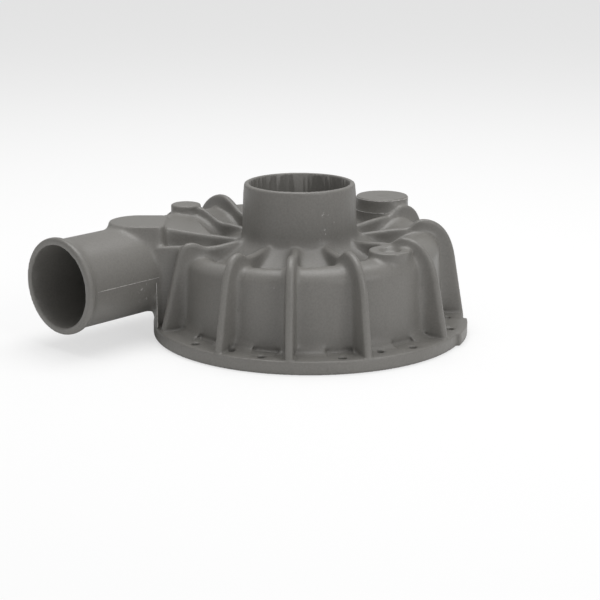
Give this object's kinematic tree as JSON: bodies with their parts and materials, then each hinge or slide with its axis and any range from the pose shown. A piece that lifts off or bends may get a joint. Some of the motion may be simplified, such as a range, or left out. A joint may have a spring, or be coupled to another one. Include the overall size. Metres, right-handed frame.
{
  "type": "volute pump casing",
  "caption": "Moulded volute pump casing: round screw flange, ribbed spiral dome, central inlet spigot and tangential beaded outlet pipe.",
  "frame": {"origin": "centre of the round flange, on its mounting face, where the screw circle is centred", "axes": "+Z out of the mounting face along the inlet spigot, -X towards the outlet pipe's side; the outlet points to -X and -Y"},
  "size_m": [0.2494, 0.18, 0.0865],
  "materials": {
    "casing": "satin moulded, with light scuffs"
  },
  "bodies": {
    "root": {"volute_casing": "casing"}
  },
  "joints": []
}
